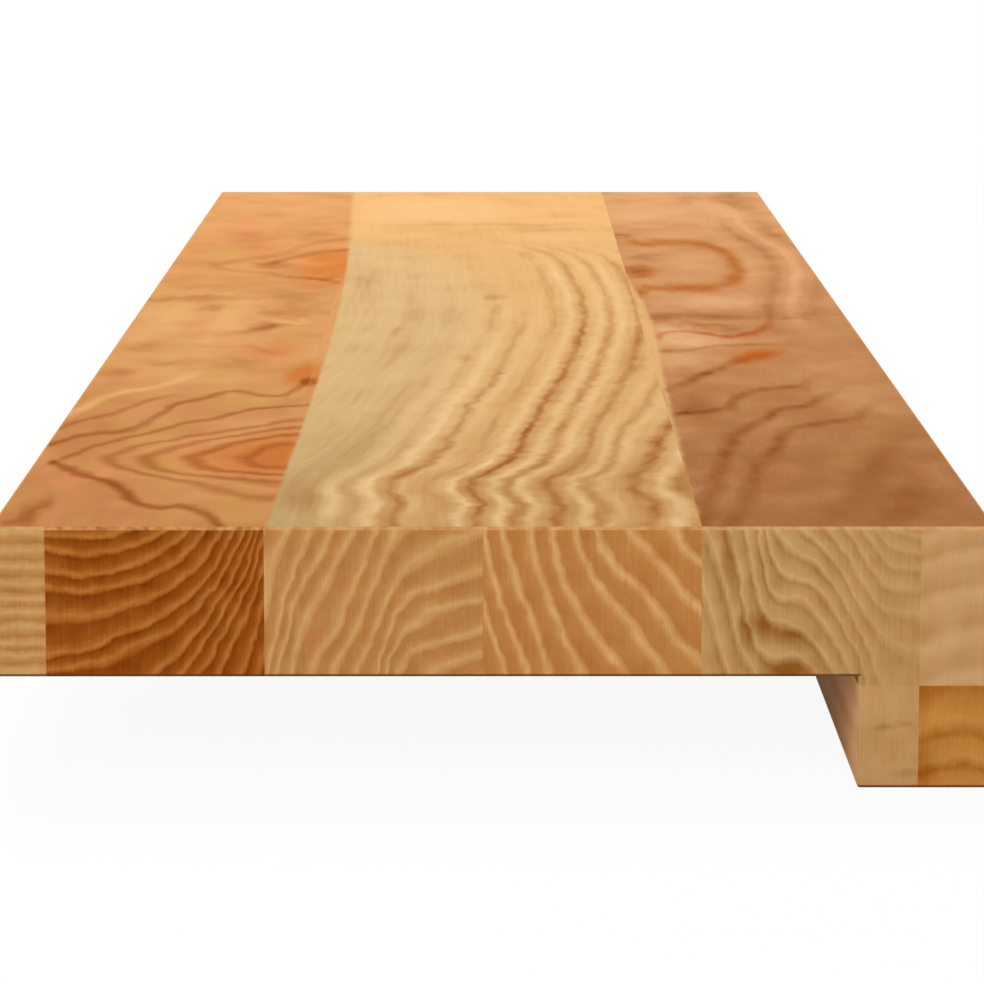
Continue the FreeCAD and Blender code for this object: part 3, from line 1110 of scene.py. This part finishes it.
LIP_FRONT_CUTS = [
    (0, 0, [-37, -31, -23.5, -14.5, 2]),
    (5, 0, [-37, -30, -22.5, -12, 2]),
    (10, 0, [-36, -28.5, -21, -11, 2]),
    (15, 0, [-38, -29.5, -21.5, -11.5, 2]),
    (19.5, 0, [-41, -32, -23, -13.5, 2])]
LIP_FRONT_STAINS = [((1, -24), (5, 7), -0.3), ((1, -4), (3, 9), -0.2)]
LIP_FRONT_PROFILE = [(0.0, 0.7), (0.2, 0.58), (0.4, 0.46), (0.64, 0.18), (0.8, 0.4), (1.0, 0.7)]
end_grain(
    "lip_stave_2", LIP_FRONT_CUTS, LIP_FRONT_PROFILE,
    (tint(187, 126, 56), tint(154, 86, 20), tint(202, 147, 74)),
    stains=LIP_FRONT_STAINS, teeth_length=0.9)

# %% [markdown]
# ## Wood on the staves
# Each stave gets the long grain of its plank and its own end grain, rides on the root of the part and
# takes the place of its node.

# %% Materials and places
BOARD_WOODS = [back_wood, back_wood, middle_wood, middle_wood, front_wood, front_wood]
LONG_WOODS = dict(zip(BOARD_STAVES, BOARD_WOODS)) | lip_woods
for name, stave in staves.items():
    stave.data.materials.append(LONG_WOODS[name])
    stave.data.materials.append(end_woods[name])
    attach(stave, "root")
    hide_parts(name)
    print(name, "wears", LONG_WOODS[name].name, "and", end_woods[name].name)

# %% [markdown]
# ## The floor
# The board is shown on white. A floor could be lit until it is white, but then the board would be lit far
# too much. Here the floor glows with a strength of 1, which is white, but only for rays that the camera
# sees. All other rays meet plain paint. Near the board a small share of the paint is left in the picture,
# so the board keeps a soft shadow.

# %% Floor
FLOOR_SIZE = 60.0
FLOOR_PAINT = (0.97, 0.97, 0.97, 1.0)
FLOOR_ROUGHNESS = 0.9
FLOOR_GAP = 0.0001
SHADOW_SHARE = 0.07
SHADOW_FULL, SHADOW_GONE = 0.6, 1.5


def seen_share(tree):
    """1 for rays that the camera sees, straight, in a mirror or through glass, and 0 for the others."""
    path = tree.nodes.new("ShaderNodeLightPath")
    share = Field(path.outputs["Is Camera Ray"])
    for kind in ("Is Glossy Ray", "Is Transmission Ray"):
        share = share.step("MAXIMUM", Field(path.outputs[kind]))
    return share


def white_floor():
    """White paint that glows for the camera, less so near the board."""
    material = bpy.data.materials.new("white_floor")
    material.use_nodes = True
    nodes = material.node_tree.nodes
    links = material.node_tree.links
    paint = nodes["Principled BSDF"]
    paint.inputs["Base Color"].default_value = FLOOR_PAINT
    paint.inputs["Roughness"].default_value = FLOOR_ROUGHNESS
    paint.inputs["Specular IOR Level"].default_value = 0.0
    ground = nodes.new("ShaderNodeTexCoord")
    distance = nodes.new("ShaderNodeVectorMath")
    distance.operation = "LENGTH"
    links.new(ground.outputs["Object"], distance.inputs[0])
    shaded = fade(Field(distance.outputs["Value"]), SHADOW_GONE, SHADOW_FULL) * SHADOW_SHARE
    glow = nodes.new("ShaderNodeEmission")
    mix = nodes.new("ShaderNodeMixShader")
    plug(mix.inputs["Fac"], seen_share(material.node_tree) * (1.0 - shaded))
    links.new(paint.outputs["BSDF"], mix.inputs[1])
    links.new(glow.outputs["Emission"], mix.inputs[2])
    links.new(mix.outputs["Shader"], nodes["Material Output"].inputs["Surface"])
    return material


floor_form = bmesh.new()
bmesh.ops.create_grid(floor_form, x_segments=1, y_segments=1, size=FLOOR_SIZE / 2)
bmesh.ops.translate(floor_form, verts=floor_form.verts, vec=(0, 0, lip_foot - FLOOR_GAP))
floor_mesh = bpy.data.meshes.new("studio_floor")
floor_form.to_mesh(floor_mesh)
floor_form.free()
floor_mesh.materials.append(white_floor())
floor = bpy.data.objects.new("studio_floor", floor_mesh)
bpy.context.scene.collection.objects.link(floor)
print("floor", FLOOR_SIZE, "m wide")

# %% [markdown]
# ## The light of the room
# A bright room lights the board softly from all sides. An even grey world does the same, and it is kept low,
# so that the lamps still shape the board. The camera sees the world as white, like the floor.

# %% World
AMBIENT = 0.4

world = bpy.data.worlds.new("studio_light")
world.use_nodes = True
bpy.context.scene.world = world
sky = world.node_tree.nodes["Background"]
sky.inputs["Color"].default_value = (1.0, 1.0, 1.0, 1.0)
plug(sky.inputs["Strength"], seen_share(world.node_tree) * (1.0 - AMBIENT) + AMBIENT)
print("light from all sides", AMBIENT)

# %% [markdown]
# ## The lamps
# In the photograph the top gets brighter towards the far end, and the near end is lit from the viewer's side.
# So one large lamp hangs over the far part and another stands behind the camera. The larger a lamp, the
# softer its shadow. The back of the lip faces away from both, and a weak, low lamp reaches it.

# %% Lamps
LAMPS = [
    ("window_lamp", (-0.2, 0.7, 1.45), (0.0, 0.55, 0.05), 1.2, 19.4),
    ("room_lamp", (-0.5, -2.6, 1.5), (0.0, -0.5, 0.05), 1.6, 34.5),
    ("low_lamp", (-1.2, -0.7, 0.12), (0.09, -0.4, 0.02), 0.3, 2.3)]


def add_lamp(name, place, aim, size, power):
    """A square lamp at a place, turned towards its aim, with its size in metres and power in watts."""
    light = bpy.data.lights.new(name, "AREA")
    light.shape = "SQUARE"
    light.size = size
    light.energy = power
    lamp = bpy.data.objects.new(name, light)
    lamp.location = place
    lamp.rotation_euler = (Vector(aim) - Vector(place)).to_track_quat("-Z", "Y").to_euler()
    bpy.context.scene.collection.objects.link(lamp)
    return lamp


for name, place, aim, size, power in LAMPS:
    print(add_lamp(name, place, aim, size, power).name, power, "W")

# %% [markdown]
# ## The camera
# The photograph looks along the board from a little above, from so far that its upright edges stay upright.
# A shifted lens would do that too, but a shift goes along into all other views. A long lens that looks down
# by a few degrees gives almost the same picture without one.

# %% Camera
CAMERA_PLACE = (-0.0015, -1.6086, 0.2555)
CAMERA_TILT = math.radians(9.03)
CAMERA_TURN = math.radians(0.072)
CAMERA_LENS = 156.94
CAMERA_SENSOR = 36.0

view = bpy.data.cameras.new("photo_view")
view.lens = CAMERA_LENS
view.sensor_width = CAMERA_SENSOR
camera = bpy.data.objects.new("photo_view", view)
camera.location = CAMERA_PLACE
camera.rotation_euler = (math.pi / 2 - CAMERA_TILT, 0, -CAMERA_TURN)
bpy.context.scene.collection.objects.link(camera)
bpy.context.scene.camera = camera
bpy.context.scene.view_settings.view_transform = "Standard"
print("camera at", CAMERA_PLACE)
